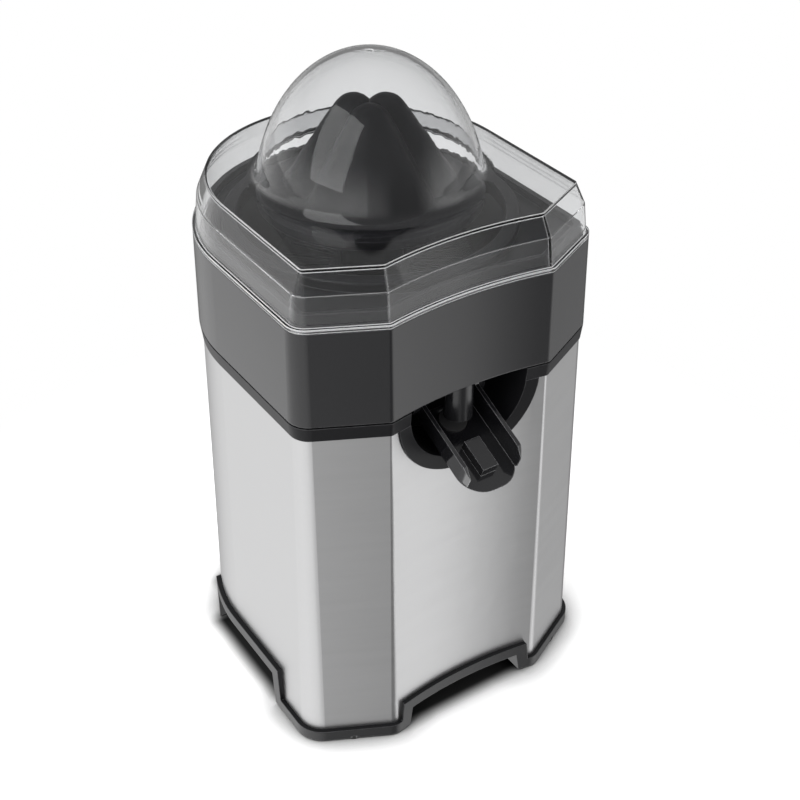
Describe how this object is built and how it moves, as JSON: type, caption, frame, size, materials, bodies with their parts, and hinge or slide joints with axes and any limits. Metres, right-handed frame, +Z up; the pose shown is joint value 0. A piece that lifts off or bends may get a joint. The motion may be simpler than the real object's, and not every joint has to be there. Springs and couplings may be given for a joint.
{
  "type": "electric citrus juicer",
  "caption": "Electric citrus juicer with a brushed steel body, lobed reamer, strainer, dark juice collector, tip-up spout and a clear domed dust cover; it starts when fruit is pressed on.",
  "frame": {"origin": "on the table, under the middle of the whole juicer's bounding box", "axes": "+Z up along the drive shaft, -Y towards the front where the spout is, +X to the right"},
  "size_m": [0.1622, 0.1888, 0.3099],
  "materials": {
    "brushed_steel": "fine level brushed lines",
    "trim_plastic": "satin",
    "foot_rubber": "matte",
    "bottom_plastic": "matte",
    "seal_rubber": "matte",
    "deck_plastic": "satin",
    "gearbox_plastic": "natural moulded",
    "bush_bronze": "sintered",
    "shaft_steel": "ground",
    "gear_nylon": "moulded",
    "pinion_brass": "cut",
    "cup_plastic": "moulded",
    "switch_plastic": "moulded",
    "terminal_plastic": "moulded",
    "lead_plastic": "smooth sleeve",
    "screw_steel": "zinc plated",
    "core_iron": "stacked sheets",
    "coil_copper": "wound",
    "bracket_metal": "cast",
    "collector_plastic": "satin charcoal",
    "spout_plastic": "gloss",
    "strainer_plastic": "satin gloss",
    "reamer_plastic": "gloss",
    "cover_clear": "clear"
  },
  "bodies": {
    "base": {"steel_housing": "brushed_steel", "base_trim": "trim_plastic", "rubber_feet": "foot_rubber", "bottom_cover": "bottom_plastic", "cord_grommet": "seal_rubber", "terminal_block": "terminal_plastic", "inner_leads": "lead_plastic", "deck": "deck_plastic", "shaft_seal": "seal_rubber", "gearbox_cover": "gearbox_plastic", "gearbox_base": "gearbox_plastic", "upper_bush": "bush_bronze", "lower_bush": "bush_bronze", "idler_axle": "shaft_steel", "microswitch": "switch_plastic", "switch_screws": "screw_steel", "motor_core": "core_iron", "motor_coil": "coil_copper", "motor_top_bracket": "bracket_metal", "motor_bottom_bracket": "bracket_metal", "motor_bearings": "bush_bronze", "base_screws": "screw_steel", "gearbox_screws": "screw_steel", "motor_screws": "screw_steel"},
    "press": {"thrust_cup": "cup_plastic", "return_spring": "shaft_steel"},
    "drive": {"drive_shaft": "shaft_steel", "output_gear": "gear_nylon", "thrust_washer": "bush_bronze", "gear_clip": "shaft_steel"},
    "idler": {"idler_gear": "gear_nylon"},
    "rotor": {"motor_rotor": "core_iron", "motor_pinion": "pinion_brass"},
    "lever": {"switch_lever": "shaft_steel"},
    "collector": {"juice_collector": "collector_plastic", "strainer_basket": "strainer_plastic", "spout_pin": "shaft_steel"},
    "spout": {"spout": "spout_plastic", "drip_seal": "seal_rubber"},
    "pulp_ring": {"pulp_control_ring": "strainer_plastic"},
    "reamer": {"reamer": "reamer_plastic"},
    "cover": {"dust_cover": "cover_clear"}
  },
  "joints": [
    {"name": "shaft_press", "type": "slide", "parent": "base", "child": "press", "axis": [0, 0, 1], "range_m": [-0.003, 0], "stiffness_N_per_m": 1500, "springref_m": 0.004, "deforming": ["return_spring"]},
    {"name": "shaft_spin", "type": "hinge", "parent": "press", "child": "drive", "pos_m": [0, 0.0063, 0.2], "axis": [0, 0, 1], "continuous": true},
    {"name": "idler_spin", "type": "hinge", "parent": "base", "child": "idler", "pos_m": [0.028, 0.04024, 0.14], "axis": [0, 0, 1], "continuous": true},
    {"name": "rotor_spin", "type": "hinge", "parent": "base", "child": "rotor", "pos_m": [0, 0.04024, 0.08], "axis": [0, 0, 1], "continuous": true},
    {"name": "lever_turn", "type": "hinge", "parent": "base", "child": "lever", "pos_m": [0.03435, 0.0063, 0.11744], "axis": [0, 1, 0], "range_deg": [-13, 0]},
    {"name": "collector_lift", "type": "slide", "parent": "base", "child": "collector", "axis": [0, 0, 1], "range_m": [0, 0.12]},
    {"name": "spout_flip", "type": "hinge", "parent": "collector", "child": "spout", "pos_m": [0, -0.0517, 0.173], "axis": [-1, 0, 0], "range_deg": [0, 24]},
    {"name": "pulp_turn", "type": "hinge", "parent": "collector", "child": "pulp_ring", "pos_m": [0, 0.0063, 0.205], "axis": [0, 0, 1], "range_deg": [0, 7.5]},
    {"name": "reamer_lift", "type": "slide", "parent": "drive", "child": "reamer", "axis": [0, 0, 1], "range_m": [0, 0.12]},
    {"name": "cover_lift", "type": "slide", "parent": "collector", "child": "cover", "axis": [0, 0, 1], "range_m": [0, 0.09]}
  ],
  "couplings": [
    {"joint": "idler_spin", "follows": "rotor_spin", "ratio": -0.25},
    {"joint": "shaft_spin", "follows": "rotor_spin", "ratio": 0.0625},
    {"joint": "lever_turn", "follows": "shaft_press", "rad_per_m": 72.72},
    {"joint": "reamer_lift", "follows": "collector_lift", "ratio": 1}
  ]
}
